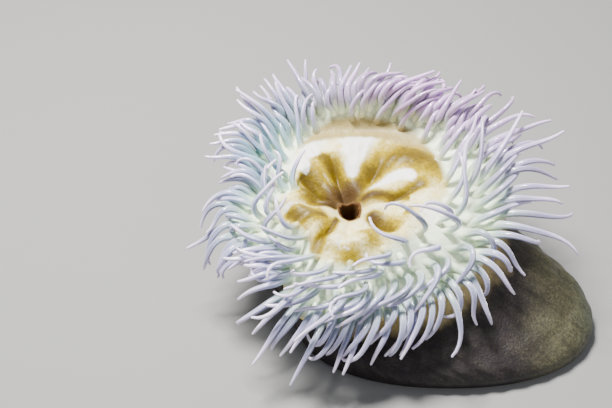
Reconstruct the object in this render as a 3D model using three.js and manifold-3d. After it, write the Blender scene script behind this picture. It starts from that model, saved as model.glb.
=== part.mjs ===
// A large sea anemone, life size, standing open on its foot.
// A stout leaning column carries a folded oral disc with the mouth in its middle, and hollow
// tapering tentacles stand in four cycles between the bare part of the disc and its rim.
//
// Millimetres, +Z up. The origin is the middle of the foot's flat underside.
// -Y is the front, where the rim hangs low, and +Y the back, where it stands high.
// Bearings are degrees in plan: 0 is +X and 90 is +Y.
import * as THREE from "three";
import { mergeVertices } from "three/addons/utils/BufferGeometryUtils.js";
import Module from "manifold-3d";

const wasm = await Module();
wasm.setup();

// ---- Driving dimensions ----------------------------------------------------------------------

// The foot's outline is a squarish ellipse. Its edge stands a little above the floor.
const FOOT = { halfLength: 93, halfWidth: 53, squareness: 2.2, edgeHeight: 4, edgeInset: 3 };

// The mouth lies off the foot's middle, because the column leans. The throat runs down from it.
const MOUTH = { x: -60, y: 33, height: 71, halfX: 8, halfY: 11 };
const THROAT = [{ width: 0.84, depth: 4 }, { width: 0.7, depth: 14 }, { width: 0.55, depth: 26 }];
const THROAT_DEPTH = 30;

// The rim: bearing about the mouth, distance from it, height above the floor.
const RIM = [
  [0, 94, 76], [30, 95, 87], [53, 87, 96], [77, 80, 98], [101, 79, 93], [126, 79, 80],
  [147, 73, 72], [159, 59, 70], [175, 69, 60], [197, 67, 52], [220, 55, 64], [240, 66, 44],
  [274, 64, 42], [303, 66, 46], [324, 77, 52], [344, 88, 63],
];
const RIM_LIP = { inset: 7, drop: 13, edgeReach: 1.5, edgeDrop: 5 };

// The column's side: how far it rises and reaches out from the foot, and how far it stands out
// and drops from under the rim. It is plump at the front and waisted at the back and right, and
// bulges most on the side away from the lean.
const PLUMP = { rise: 0.55, reach: 8, bulge: 6, fall: 0.2 };
const WAISTED = { rise: 0.35, reach: 4, bulge: -8, fall: 0.55 };
const COLUMN = { waistBearing: 45, leanBulge: 16, leanBearing: -10 };

// From the lips the disc puffs up into a ridge and then sweeps out to the rim.
const DISC = { ridge: 9, ridgeAt: 0.42, ridgeSpread: 0.2, ridgeStart: 0.2, sweep: 3.4 };

// Valleys in the disc: bearing, half width in degrees, depth, and the middle and half length
// as shares of the way from the lips to the rim. After the folds round the mouth come two deep
// notches in the rim and the trough along the foot of the far rim's slope.
const FOLDS = [
  [14, 9, 5, 0.27, 0.22], [60, 13, 6, 0.33, 0.24], [105, 12, 7, 0.3, 0.24],
  [150, 13, 6.5, 0.26, 0.22], [178, 8, 3, 0.3, 0.2], [236, 10, 7, 0.42, 0.25],
  [266, 9, 2.5, 0.22, 0.16], [316, 12, 6, 0.25, 0.22], [221, 9, 9, 0.85, 0.35],
  [158, 8, 6, 0.85, 0.3], [82, 42, 4.5, 0.79, 0.1],
];

// Tentacle cycles: how many, where they root from the bare disc (0) to the rim (1), length,
// root radius, and the turn of the first one in steps of the cycle.
const CYCLES = [
  { count: 24, share: 0, length: 41, root: 2.1, turn: 0 },
  { count: 24, share: 0.27, length: 43, root: 2.3, turn: 0.5 },
  { count: 48, share: 0.58, length: 44, root: 2.6, turn: 0.5 },
  { count: 96, share: 1, length: 43, root: 2.8, turn: 0.5 },
];
// Tentacles that root past the share splayFrom spread outwards, more and more to the last root.
const TENTACLE = {
  tip: 0.75, taper: 0.85, lastRoot: 0.95, stagger: 0.035, points: 15, rooted: 1.5,
  bentBy: 0.75, innerSplay: 0.15, outerSplay: 0.9, splayFrom: 0.5, outerPull: 1.2,
};

// How the crown lies: bearing, heading and pitch of the outer tips, heading and pitch of the
// inner tips, factor on the length, and the share of the disc that stays bare.
const FLOW = [
  [0, 2, -12, 110, 20, 1.2, 0.58], [30, 30, 10, 60, 20, 0.97, 0.66],
  [53, 45, 0, 50, 20, 0.8, 0.8], [77, 25, -5, 30, 10, 0.88, 0.86],
  [101, 110, 10, 70, 30, 0.78, 0.85], [126, 150, 20, 100, 20, 0.85, 0.68],
  [147, 180, 8, 130, 30, 0.85, 0.56], [159, 170, 10, 60, 40, 0.72, 0.5],
  [175, 208, -35, 70, 25, 0.85, 0.58], [197, 225, -55, 30, 30, 0.88, 0.62],
  [220, 185, 0, 150, 20, 0.75, 0.58], [240, 205, -40, 185, 5, 1, 0.6],
  [274, 218, -48, 180, 5, 1.1, 0.64], [303, 228, -52, 178, 8, 1.08, 0.58],
  [324, 285, -55, 165, 15, 1.02, 0.55], [344, 335, -35, 150, 20, 1.15, 0.56],
];
const FLOW_COLUMN = { tipHeading: 1, tipPitch: 2, innerHeading: 3, innerPitch: 4, length: 5, bare: 6 };

// How far one tentacle differs from the next.
const VARIETY = {
  bearing: 0.4, root: 0.05, outerRoot: 0.02, innerHeading: 50, outerHeading: 26, pitch: 26,
  shortest: 0.82, lengthRange: 0.36, wave: 0.8, hook: 2.5, hookBias: 0.2, hookFrom: 0.6, hookCurve: 1.5,
  roll: 6.3, outerRoll: 2.2,
};
// Where each kind of difference starts in the row of random numbers.
const DRAW = {
  bearing: 0, root: 500, heading: 1000, pitch: 1500, length: 2000, wave: 2500, hook: 3000, roll: 3500,
};

// Tentacles are eased apart, off the body and off the floor.
const CLEAR = { between: 0.45, body: 0.5, floor: 3, rounds: 80, regroup: 10, reseat: 4 };
const EASE = {
  boxMargin: 5, bodyReach: 14, follow: 0.65, lastOwn: 0.4, stiffPoints: 3,
  bearingStep: 5, column: 8, disc: 14,
};

// How the body is divided into named pieces.
const PARTING = {
  gap: 0.3, pedalTop: 10, throatFloor: 45.5, bellyShare: 0.65, bellyThick: 13, middleHeight: 35,
  lipRadius: 17, tentacleBelt: 0.07, lipPieces: 6, discPieces: 4, crownPieces: 12,
};
const FACETS = {
  bearings: 24, column: 4, disc: [1, 0.78, 0.45, 0.22, 0],
  tentacleSides: 3, tentacleSteps: 3, tentacleFit: 0.9, tolerance: 0.08,
};
const FAR = 400; // larger than the whole animal, for cutting tools

// ---- Materials ---------------------------------------------------------------------------------

const flesh = (color, roughness) => () => new THREE.MeshStandardMaterial({ color, roughness, metalness: 0 });
const pedalSkin = flesh(0x77705a, 0.6);
const columnSkin = flesh(0x8f876c, 0.5);
const discSkin = flesh(0xe4dcae, 0.4);
const lipSkin = flesh(0x9c7f48, 0.45);
const tentacleSkin = flesh(0xd3dde0, 0.35);

// ---- Vectors and curves ------------------------------------------------------------------------

const UP = new THREE.Vector3(0, 0, 1);
const NUDGE = 0.01; // the step in share to each side over which the disc's slope is taken
const ASIDE = new THREE.Vector3(1e-4, 0, 1e-4); // keeps an axis defined where two ways agree
const { degToRad: rad, radToDeg: deg, lerp: mix } = THREE.MathUtils;
const outward = (bearing) => new THREE.Vector3(Math.cos(rad(bearing)), Math.sin(rad(bearing)), 0);
const heading = (bearing, pitch) =>
  outward(bearing).multiplyScalar(Math.cos(rad(pitch))).addScaledVector(UP, Math.sin(rad(pitch)));
const wrap = (angle) => ((((angle + 180) % 360) + 360) % 360) - 180;
const smooth = (t) => t * t * (3 - 2 * t);

// A number from 0 to 1 that looks random and is the same every time.
function noise(n) {
  const value = Math.sin(n * 12.9898 + 4.1) * 43758.5453;
  return value - Math.floor(value);
}

// A closed cubic through stations at uneven bearings. The first station is at bearing 0.
function around(stations, bearing, value) {
  const count = stations.length;
  const a = ((bearing % 360) + 360) % 360;
  const k = stations.findLastIndex((station) => station[0] <= a);
  const near = [k - 1, k, k + 1, k + 2].map((i) => {
    const station = stations[(i + count) % count];
    return { x: station[0] + 360 * Math.floor(i / count), y: value(station) };
  });
  const [p, q, r, s] = near;
  const span = r.x - q.x;
  const t = (a - q.x) / span;
  const slopeIn = ((r.y - p.y) / (r.x - p.x)) * span;
  const slopeOut = ((s.y - q.y) / (s.x - q.x)) * span;
  return (2 * t ** 3 - 3 * t ** 2 + 1) * q.y + (t ** 3 - 2 * t ** 2 + t) * slopeIn
    + (-2 * t ** 3 + 3 * t ** 2) * r.y + (t ** 3 - t ** 2) * slopeOut;
}

// ---- The body's surface ------------------------------------------------------------------------

const rimDistance = (bearing) => around(RIM, bearing, (station) => station[1]);
const rimHeight = (bearing) => around(RIM, bearing, (station) => station[2]);

function mouthRadius(bearing) {
  const out = outward(bearing);
  return 1 / Math.hypot(out.x / MOUTH.halfX, out.y / MOUTH.halfY);
}

function footRadius(bearing) {
  const out = outward(bearing);
  const power = FOOT.squareness;
  const sum = Math.abs(out.x / FOOT.halfLength) ** power + Math.abs(out.y / FOOT.halfWidth) ** power;
  return sum ** (-1 / power);
}

// share runs from 0 at the lips to 1 at the rim.
function discHeight(bearing, share) {
  const bump = Math.exp(-(((share - DISC.ridgeAt) / DISC.ridgeSpread) ** 2));
  const start = 1 - Math.exp(-((share / DISC.ridgeStart) ** 2));
  let height = MOUTH.height + (rimHeight(bearing) - MOUTH.height) * share ** DISC.sweep;
  height += DISC.ridge * bump * start;
  for (const [at, halfWidth, depth, middle, halfLength] of FOLDS) {
    const across = Math.exp(-((wrap(bearing - at) / halfWidth) ** 2));
    height -= depth * across * Math.exp(-(((share - middle) / halfLength) ** 2));
  }
  return height;
}

const discRadius = (bearing, share) =>
  mouthRadius(bearing) + (rimDistance(bearing) - mouthRadius(bearing)) * share;

const overMouth = (bearing, distance, height) =>
  new THREE.Vector3(MOUTH.x, MOUTH.y, height).addScaledVector(outward(bearing), distance);

const discPoint = (bearing, share) =>
  overMouth(bearing, discRadius(bearing, share), discHeight(bearing, share));

function discNormal(bearing, share) {
  const along = discPoint(bearing, share + NUDGE).sub(discPoint(bearing, share - NUDGE));
  const across = discPoint(bearing + 1, share).sub(discPoint(bearing - 1, share));
  return along.cross(across).normalize();
}

// Where the underside of the rim turns in to the column.
function underRim(bearing) {
  return discPoint(bearing, 1).addScaledVector(outward(bearing), -RIM_LIP.inset)
    .addScaledVector(UP, -RIM_LIP.drop);
}

// From the middle of the foot out to its edge and up the column to the rim.
function columnPoints(bearing, steps) {
  const out = outward(bearing);
  const footEdge = out.clone().multiplyScalar(footRadius(bearing)).addScaledVector(UP, FOOT.edgeHeight);
  const under = underRim(bearing);
  const waist = (0.5 + 0.5 * Math.cos(rad(bearing - COLUMN.waistBearing))) ** 2;
  const lean = COLUMN.leanBulge * Math.cos(rad(bearing - COLUMN.leanBearing)) * (1 - waist);
  const blend = (name) => mix(PLUMP[name], WAISTED[name], waist);
  const side = new THREE.CubicBezierCurve3(
    footEdge,
    footEdge.clone().addScaledVector(UP, blend("rise") * under.z).addScaledVector(out, blend("reach")),
    under.clone().addScaledVector(out, blend("bulge") + lean).addScaledVector(UP, -blend("fall") * under.z),
    under,
  );
  const flatEdge = footEdge.clone().addScaledVector(out, -FOOT.edgeInset).setZ(0);
  return [new THREE.Vector3(0, 0, 0), flatEdge, ...side.getPoints(steps)];
}

// From the edge of the rim in across the disc, over the lips and down the throat.
function discPoints(bearing, shares) {
  const edge = discPoint(bearing, 1).addScaledVector(outward(bearing), RIM_LIP.edgeReach)
    .addScaledVector(UP, -RIM_LIP.edgeDrop);
  const throat = THROAT.map(({ width, depth }) =>
    overMouth(bearing, mouthRadius(bearing) * width, MOUTH.height - depth));
  const pit = overMouth(bearing, 0, MOUTH.height - THROAT_DEPTH);
  return [edge, ...shares.map((share) => discPoint(bearing, share)), ...throat, pit];
}

// From the rim's underside in to the middle, where the disc parts from the column.
function seamPoints(bearing, offset) {
  const belly = discPoint(bearing, PARTING.bellyShare).addScaledVector(UP, -PARTING.bellyThick);
  const middle = overMouth(bearing, 0, PARTING.middleHeight);
  return [underRim(bearing), belly, middle].map((point) => point.addScaledVector(UP, offset));
}

// ---- Tentacles: centre lines -------------------------------------------------------------------

const flowNumber = (bearing, name) => around(FLOW, bearing, (station) => station[FLOW_COLUMN[name]]);

function flowHeading(bearing, name) {
  const cos = around(FLOW, bearing, (station) => Math.cos(rad(station[FLOW_COLUMN[name]])));
  const sin = around(FLOW, bearing, (station) => Math.sin(rad(station[FLOW_COLUMN[name]])));
  return deg(Math.atan2(sin, cos));
}

// The way the tips point: the inner ones over the disc, the outer ones away from it.
function tipDirection(bearing, share, index) {
  const outer = share ** TENTACLE.outerPull;
  const mixed = heading(flowHeading(bearing, "innerHeading"), flowNumber(bearing, "innerPitch"))
    .multiplyScalar(1 - outer)
    .addScaledVector(heading(flowHeading(bearing, "tipHeading"), flowNumber(bearing, "tipPitch")), outer)
    .normalize();
  const swing = mix(VARIETY.innerHeading, VARIETY.outerHeading, share);
  const turned = deg(Math.atan2(mixed.y, mixed.x)) + (noise(index + DRAW.heading) - 0.5) * swing;
  const raised = deg(Math.asin(mixed.z)) + (noise(index + DRAW.pitch) - 0.5) * VARIETY.pitch;
  return heading(turned, raised);
}

// A tentacle leaves the disc along its normal, bends over to its tip's direction in an S,
// and ends in a hook.
function growTentacle(cycle, k, index) {
  const step = 360 / cycle.count;
  const bearing = (k + cycle.turn) * step + (noise(index + DRAW.bearing) - 0.5) * VARIETY.bearing * step;
  const jitter = (noise(index + DRAW.root) - 0.5) * mix(VARIETY.root, VARIETY.outerRoot, cycle.share);
  const stagger = cycle.share === 1 && k % 2 === 1 ? TENTACLE.stagger : 0;
  const share = mix(flowNumber(bearing, "bare"), TENTACLE.lastRoot, cycle.share) + jitter - stagger;

  const nearRim = (share - TENTACLE.splayFrom) / (TENTACLE.lastRoot - TENTACLE.splayFrom);
  const splay = mix(TENTACLE.innerSplay, TENTACLE.outerSplay, THREE.MathUtils.clamp(nearRim, 0, 1));
  const start = discNormal(bearing, share).addScaledVector(outward(bearing), splay).normalize();
  const end = tipDirection(bearing, cycle.share, index);
  const side = start.clone().cross(end).add(ASIDE).normalize();
  const length = cycle.length * flowNumber(bearing, "length")
    * (VARIETY.shortest + VARIETY.lengthRange * noise(index + DRAW.length));
  const wave = (noise(index + DRAW.wave) - 0.5) * VARIETY.wave;
  const hook = (noise(index + DRAW.hook) - VARIETY.hookBias) * VARIETY.hook;
  const roll = (noise(index + DRAW.roll) - 0.5) * mix(VARIETY.roll, VARIETY.outerRoll, cycle.share);

  const points = [discPoint(bearing, share)];
  for (let i = 1; i < TENTACLE.points; i++) {
    const s = (i - 0.5) / (TENTACLE.points - 1);
    const bend = smooth(Math.min(1, s / TENTACLE.bentBy));
    const direction = start.clone().multiplyScalar(1 - bend).addScaledVector(end, bend).normalize();
    direction.applyAxisAngle(side, wave * Math.sin(2 * Math.PI * s));
    const hookAxis = side.clone().applyAxisAngle(direction, roll);
    const curl = Math.max(0, (s - VARIETY.hookFrom) / (1 - VARIETY.hookFrom)) ** VARIETY.hookCurve;
    direction.applyAxisAngle(hookAxis, hook * curl);
    points.push(points[i - 1].clone().addScaledVector(direction, length / (TENTACLE.points - 1)));
  }
  return { points, bearing: ((bearing % 360) + 360) % 360, root: cycle.root, start };
}

const tentacleRadius = (root, s) => TENTACLE.tip + (root - TENTACLE.tip) * (1 - s) ** TENTACLE.taper;

// Points on the body with their normals, for keeping tentacles off it.
function bodySamples() {
  const rows = [];
  const shares = Array.from({ length: EASE.disc + 1 }, (_, k) => 1 - k / EASE.disc);
  for (let bearing = 0; bearing < 360; bearing += EASE.bearingStep) {
    const disc = discPoints(bearing, shares).slice(0, -THROAT.length - 1);
    rows.push([...columnPoints(bearing, EASE.column).slice(1), ...disc]);
  }
  const samples = [];
  rows.forEach((row, i) => {
    const next = rows[(i + 1) % rows.length];
    const last = rows[(i + rows.length - 1) % rows.length];
    row.forEach((point, j) => {
      const across = next[j].clone().sub(last[j]);
      const along = row[Math.min(j + 1, row.length - 1)].clone().sub(row[Math.max(j - 1, 0)]);
      samples.push({ point, normal: across.cross(along).normalize() });
    });
  });
  return samples;
}

function nearest(samples, point) {
  let best = samples[0];
  let distance = Infinity;
  for (const sample of samples) {
    const d = sample.point.distanceToSquared(point);
    if (d < distance) {
      distance = d;
      best = sample;
    }
  }
  return best;
}

function closePairs(tentacles) {
  const boxes = tentacles.map(({ points }) => new THREE.Box3().setFromPoints(points));
  const pairs = [];
  for (let i = 0; i < boxes.length; i++) {
    const reach = boxes[i].clone().expandByScalar(EASE.boxMargin);
    for (let j = i + 1; j < boxes.length; j++) {
      if (reach.intersectsBox(boxes[j])) {
        pairs.push([tentacles[i], tentacles[j]]);
      }
    }
  }
  return pairs;
}

// Every round each point is pushed clear of what it touches. The moves are smoothed along the
// tentacle, so that it bends instead of kinking, and its root stays in place.
function easeApart(tentacles) {
  const samples = bodySamples();
  const last = TENTACLE.points - 1;
  for (const tentacle of tentacles) {
    tentacle.rest = tentacle.points.map((point) => point.clone());
    tentacle.moved = tentacle.points.map(() => new THREE.Vector3());
    tentacle.radii = tentacle.points.map((_, k) => tentacleRadius(tentacle.root, k / last));
  }
  let pairs = [];
  const apart = new THREE.Vector3();
  for (let round = 0; round < CLEAR.rounds; round++) {
    if (round % CLEAR.regroup === 0) {
      pairs = closePairs(tentacles);
    }
    for (const tentacle of tentacles) {
      tentacle.push = tentacle.points.map(() => new THREE.Vector3());
      tentacle.hits = tentacle.points.map(() => 0);
      if (round % CLEAR.reseat === 0) {
        tentacle.seats = tentacle.points.map((point) => nearest(samples, point));
      }
    }
    for (const [one, other] of pairs) {
      for (let k = 0; k <= last; k++) {
        for (let l = 0; l <= last; l++) {
          apart.subVectors(one.points[k], other.points[l]);
          const deep = one.radii[k] + other.radii[l] + CLEAR.between - apart.length();
          if (deep > 0) {
            apart.setLength(deep / 2);
            one.push[k].add(apart);
            other.push[l].sub(apart);
            one.hits[k] += 1;
            other.hits[l] += 1;
          }
        }
      }
    }
    for (const { points, rest, moved, push, hits, seats, radii } of tentacles) {
      for (let k = 0; k <= last; k++) {
        push[k].divideScalar(Math.max(1, hits[k]));
        const { point, normal } = seats[k];
        const offset = points[k].clone().sub(point);
        const sunk = radii[k] + CLEAR.body - offset.dot(normal);
        if (sunk > 0 && offset.length() < EASE.bodyReach) {
          push[k].addScaledVector(normal, sunk);
        }
        push[k].z += Math.max(0, CLEAR.floor - (points[k].z - radii[k]));
        const free = THREE.MathUtils.clamp((k - 1) / EASE.stiffPoints, 0, 1);
        moved[k].addScaledVector(push[k], free);
      }
      const even = moved.map((move, k) => {
        if (k < 2) {
          return new THREE.Vector3();
        }
        if (k === last) {
          return moved[k - 1].clone().lerp(move, EASE.lastOwn);
        }
        return move.clone().multiplyScalar(0.5).addScaledVector(moved[k - 1], 0.25)
          .addScaledVector(moved[k + 1], 0.25);
      });
      for (let k = 0; k <= last; k++) {
        moved[k].lerp(even[k], EASE.follow);
        points[k].addVectors(rest[k], moved[k]);
      }
    }
  }
}

function makeTentacles() {
  const tentacles = [];
  for (const cycle of CYCLES) {
    for (let k = 0; k < cycle.count; k++) {
      tentacles.push(growTentacle(cycle, k, tentacles.length));
    }
  }
  easeApart(tentacles);
  return tentacles;
}

// ---- Solids ------------------------------------------------------------------------------------

// A three.js geometry as a solid that can be cut and joined. insideOut turns its faces round.
function solid(geometry, insideOut = false) {
  geometry.deleteAttribute("normal");
  geometry.deleteAttribute("uv");
  const merged = mergeVertices(geometry);
  const corners = merged.index.array;
  const faces = [];
  for (let i = 0; i < corners.length; i += 3) {
    const [a, b, c] = corners.slice(i, i + 3);
    if (a !== b && b !== c && c !== a) {
      faces.push(...(insideOut ? [a, c, b] : [a, b, c]));
    }
  }
  const vertProperties = Float32Array.from(merged.attributes.position.array);
  return new wasm.Manifold(new wasm.Mesh({ numProp: 3, vertProperties, triVerts: Uint32Array.from(faces) }));
}

// A closed surface of sections about an upright axis, one for each bearing, with its faces
// moved out by grow. A section runs from the bottom to the top, or fromTop to the bottom: then
// the diagonals of its faces run as they do on the surface below it that it meets.
function sectionSolid(section, { grow = 0, fromTop = false } = {}) {
  const rows = [];
  for (let i = 0; i < FACETS.bearings; i++) {
    rows.push(section((i * 360) / FACETS.bearings));
  }
  const size = rows[0].length;
  const profile = rows[0].map((_, j) => new THREE.Vector2(j === 0 || j === size - 1 ? 0 : 1, j));
  const lathe = new THREE.LatheGeometry(profile, FACETS.bearings);
  lathe.attributes.position.array.set(
    Array.from({ length: FACETS.bearings + 1 }, (_, i) =>
      rows[i % FACETS.bearings].flatMap((point) => point.toArray())).flat());
  lathe.deleteAttribute("normal");
  lathe.deleteAttribute("uv");
  const surface = mergeVertices(lathe);
  surface.computeVertexNormals();
  const { position, normal } = surface.attributes;
  const outwards = fromTop ? -grow : grow;
  const place = new THREE.Vector3();
  const away = new THREE.Vector3();
  for (let i = 0; i < position.count; i++) {
    place.fromBufferAttribute(position, i).addScaledVector(away.fromBufferAttribute(normal, i), outwards);
    position.setXYZ(i, place.x, place.y, place.z);
  }
  return solid(surface, fromTop);
}

// The foot and column up to the seam, and the disc with its rim above it.
const trunkSolid = (offset, grow = 0) => sectionSolid(
  (bearing) => [...columnPoints(bearing, FACETS.column).slice(0, -1), ...seamPoints(bearing, offset)],
  { grow });
const topSolid = (offset, grow = 0) => sectionSolid(
  (bearing) => [...discPoints(bearing, FACETS.disc).reverse(), ...seamPoints(bearing, offset)],
  { grow, fromTop: true });

function upright(outlinePoints) {
  const shape = new THREE.Shape(outlinePoints.map(({ x, y }) => new THREE.Vector2(x, y)));
  const geometry = new THREE.ExtrudeGeometry(shape, { depth: 2 * FAR, bevelEnabled: false });
  return solid(geometry.translate(0, 0, -FAR));
}

// A pie slice about the mouth, with its two faces drawn in by an inset.
function slice(from, to, inset) {
  const middle = (from + to) / 2;
  const apex = overMouth(middle, inset / Math.sin(rad((to - from) / 2)), 0);
  const corners = [from, middle, to].map((bearing) => apex.clone().addScaledVector(outward(bearing), FAR));
  return upright([apex, ...corners]);
}

// A post round the mouth whose wall lies at radius(bearing).
function post(radius) {
  const corners = [];
  for (let i = 0; i < FACETS.bearings; i++) {
    const bearing = (i * 360) / FACETS.bearings;
    corners.push(overMouth(bearing, radius(bearing), 0));
  }
  return upright(corners);
}

function layer(bottom, top) {
  const box = new THREE.BoxGeometry(2 * FAR, 2 * FAR, top - bottom);
  return solid(box.translate(0, 0, (bottom + top) / 2));
}

function largest(manifold) {
  return manifold.decompose().reduce((a, b) => (b.volume() > a.volume() ? b : a));
}

// A tapering prism bent along the tentacle's centre line. grow moves its faces outwards.
function tentacleSolid({ points, root, start }, grow = 0) {
  const { tentacleSides: sides, tentacleSteps: steps, tentacleFit: fit } = FACETS;
  const buried = points[0].clone().addScaledVector(start, -TENTACLE.rooted - grow);
  const line = new THREE.CatmullRomCurve3([buried, ...points]);
  const frames = line.computeFrenetFrames(steps);
  const cornerGrow = grow / Math.cos(Math.PI / sides);
  const ring = [];
  for (let i = 0; i < sides; i++) {
    ring.push(new THREE.Vector2(Math.cos((i * 2 * Math.PI) / sides), Math.sin((i * 2 * Math.PI) / sides)));
  }
  const prism = new THREE.ExtrudeGeometry(new THREE.Shape(ring), { depth: 1, steps, bevelEnabled: false });
  const position = prism.attributes.position;
  const corner = new THREE.Vector3();
  for (let i = 0; i < position.count; i++) {
    corner.fromBufferAttribute(position, i);
    const step = Math.round(corner.z * steps);
    const size = tentacleRadius(root, step / steps) * fit + cornerGrow;
    const place = line.getPointAt(step / steps)
      .addScaledVector(frames.normals[step], corner.x * size)
      .addScaledVector(frames.binormals[step], corner.y * size);
    if (step === steps) {
      place.addScaledVector(frames.tangents[step], grow);
    }
    position.setXYZ(i, place.x, place.y, place.z);
  }
  return solid(prism);
}

// ---- The named pieces --------------------------------------------------------------------------

const anemone = new THREE.Group();

function add(name, piece, material) {
  const { vertProperties, triVerts } = piece.simplify(FACETS.tolerance).getMesh();
  const geometry = new THREE.BufferGeometry();
  geometry.setAttribute("position", new THREE.BufferAttribute(vertProperties, 3));
  geometry.setIndex(new THREE.BufferAttribute(triVerts, 1));
  geometry.computeVertexNormals();
  const mesh = new THREE.Mesh(geometry, material());
  mesh.name = name;
  anemone.add(mesh);
}

const half = PARTING.gap / 2;
const trunk = trunkSolid(-half);
const top = topSolid(half);

// The foot and the column.
add("pedal_disc", trunk.intersect(layer(-1, PARTING.pedalTop - half)), pedalSkin);
add("column", trunk.intersect(layer(PARTING.pedalTop + half, FAR)), columnSkin);

// The throat's floor, the lips round the throat and the bare disc, in equal slices.
const slices = (count) =>
  Array.from({ length: count }, (_, i) => slice((i * 360) / count, ((i + 1) * 360) / count, half));
const beltRadius = (bearing) =>
  discRadius(bearing, flowNumber(bearing, "bare") - PARTING.tentacleBelt);
const mouth = top.intersect(post(() => PARTING.lipRadius - half));
const lips = mouth.intersect(layer(PARTING.throatFloor + half, FAR));
const bareDisc = top.subtract(post(() => PARTING.lipRadius + half))
  .intersect(post((bearing) => beltRadius(bearing) - half));
add("throat_floor", mouth.intersect(layer(-1, PARTING.throatFloor - half)), lipSkin);
slices(PARTING.lipPieces).forEach((wedge, i) =>
  add(`lips_${i + 1}`, largest(lips.intersect(wedge)), lipSkin));
slices(PARTING.discPieces).forEach((wedge, i) =>
  add(`oral_disc_${i + 1}`, largest(bareDisc.intersect(wedge)), discSkin));

// The crown: the outer disc with its rim, in slices, each with the tentacles that root in it.
// A tentacle gives way to the body and to the tentacles of the slices before it.
const tentacles = makeTentacles();
const plumpBody = trunkSolid(-half, PARTING.gap).add(topSolid(half, PARTING.gap));
const insideBelt = trunkSolid(half).add(post((bearing) => beltRadius(bearing) + half));
const crownWidth = 360 / PARTING.crownPieces;
const earlier = [];
slices(PARTING.crownPieces).forEach((wedge, i) => {
  const own = wedge.subtract(insideBelt);
  const keepOut = plumpBody.subtract(own);
  const rooted = tentacles.filter(({ bearing }) => Math.floor(bearing / crownWidth) === i);
  let piece = top.intersect(own);
  for (const tentacle of rooted) {
    const free = tentacleSolid(tentacle).subtract(keepOut);
    piece = piece.add(earlier.reduce((rest, plump) => rest.subtract(plump), free));
  }
  earlier.push(...rooted.map((tentacle) => tentacleSolid(tentacle, PARTING.gap)));
  add(`crown_${String(i + 1).padStart(2, "0")}`, largest(piece), tentacleSkin);
});

export default anemone;
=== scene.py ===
# %% [markdown]
# # A sea anemone, life size
#
# The animal is soft all over, so the whole of it is one skin: a stout column on a flat foot,
# an oral disc folded round the mouth, and tentacles that grow out of the disc. The frame
# holds hard solids of the same body, parted into slices. This script works out the same
# surface from the same sizes, much finer and without the partings, and hides the solids.

# %% Load the frame
import math

import bmesh
import bpy
import numpy as np
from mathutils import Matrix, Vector


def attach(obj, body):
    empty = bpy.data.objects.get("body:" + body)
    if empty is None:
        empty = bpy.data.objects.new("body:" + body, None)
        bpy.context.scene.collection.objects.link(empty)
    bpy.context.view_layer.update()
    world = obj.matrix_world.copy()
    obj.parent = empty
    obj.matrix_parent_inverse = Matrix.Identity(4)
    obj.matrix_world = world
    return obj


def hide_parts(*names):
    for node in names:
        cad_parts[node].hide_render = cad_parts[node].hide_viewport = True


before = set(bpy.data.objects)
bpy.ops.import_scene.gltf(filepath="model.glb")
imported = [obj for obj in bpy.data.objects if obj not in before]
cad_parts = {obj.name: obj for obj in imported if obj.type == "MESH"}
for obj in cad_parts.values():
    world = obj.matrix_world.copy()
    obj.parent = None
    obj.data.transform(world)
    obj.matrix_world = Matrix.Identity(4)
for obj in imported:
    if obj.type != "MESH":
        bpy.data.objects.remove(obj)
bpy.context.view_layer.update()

MM = 0.001    # the sizes below are in millimetres, and the skin is made in metres

# %% [markdown]
# ## The sizes
#
# These are the driving sizes of the solids, so that the skin lies where they are. The body is
# described by bearings about the mouth, seen from above: 0 is +X and 90 is +Y. A share of 0 is
# at the lips and 1 at the rim of the disc.

# %% Sizes of the body
FOOT_HALF_LENGTH, FOOT_HALF_WIDTH, FOOT_SQUARENESS = 93, 53, 2.2
FOOT_EDGE_HEIGHT, FOOT_EDGE_INSET = 4, 3
MOUTH_X, MOUTH_Y, MOUTH_HEIGHT = -60, 33, 71
MOUTH_HALF_X, MOUTH_HALF_Y = 8, 11
THROAT = [(0.84, 4), (0.7, 14), (0.55, 26)]     # width as a share of the mouth's, depth
THROAT_DEPTH = 30

# The rim: bearing, distance from the mouth, height above the floor.
RIM = [(0, 94, 76), (30, 95, 87), (53, 87, 96), (77, 80, 98), (101, 79, 93), (126, 79, 80),
       (147, 73, 72), (159, 59, 70), (175, 69, 60), (197, 67, 52), (220, 55, 64), (240, 66, 44),
       (274, 64, 42), (303, 66, 46), (324, 77, 52), (344, 88, 63)]
RIM_INSET, RIM_DROP = 7, 13             # where its underside meets the column
RIM_EDGE_REACH, RIM_EDGE_DROP = 1.5, 5  # its outermost edge

# The column's side: how far it rises and reaches out from the foot, and how far it stands out
# and drops from under the rim. It is plump at the front and waisted at the back and right.
PLUMP = {"rise": 0.55, "reach": 8, "bulge": 6, "fall": 0.2}
WAISTED = {"rise": 0.35, "reach": 4, "bulge": -8, "fall": 0.55}
WAIST_BEARING, LEAN_BULGE, LEAN_BEARING = 45, 16, -10

RIDGE, RIDGE_AT, RIDGE_SPREAD, RIDGE_START = 9, 0.42, 0.2, 0.2
DISC_SWEEP = 3.4

# Valleys in the disc: bearing, half width in degrees, depth, middle and half length in shares.
FOLDS = [(14, 9, 5, 0.27, 0.22), (60, 13, 6, 0.33, 0.24), (105, 12, 7, 0.3, 0.24),
         (150, 13, 6.5, 0.26, 0.22), (178, 8, 3, 0.3, 0.2), (236, 10, 7, 0.42, 0.25),
         (266, 9, 2.5, 0.22, 0.16), (316, 12, 6, 0.25, 0.22), (221, 9, 9, 0.85, 0.35),
         (158, 8, 6, 0.85, 0.3), (82, 42, 4.5, 0.79, 0.1)]
ROUND_MOUTH = 8     # how many of them are folds round the mouth

# %% [markdown]
# ## Curves round the mouth
#
# The rim and the way the tentacles lie are given at a few uneven bearings. A closed cubic
# joins them. Each stretch is a Hermite curve whose slopes come from the stations on both sides,
# so that the curve has no corner at a station. numpy works on all the bearings at once.

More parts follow.
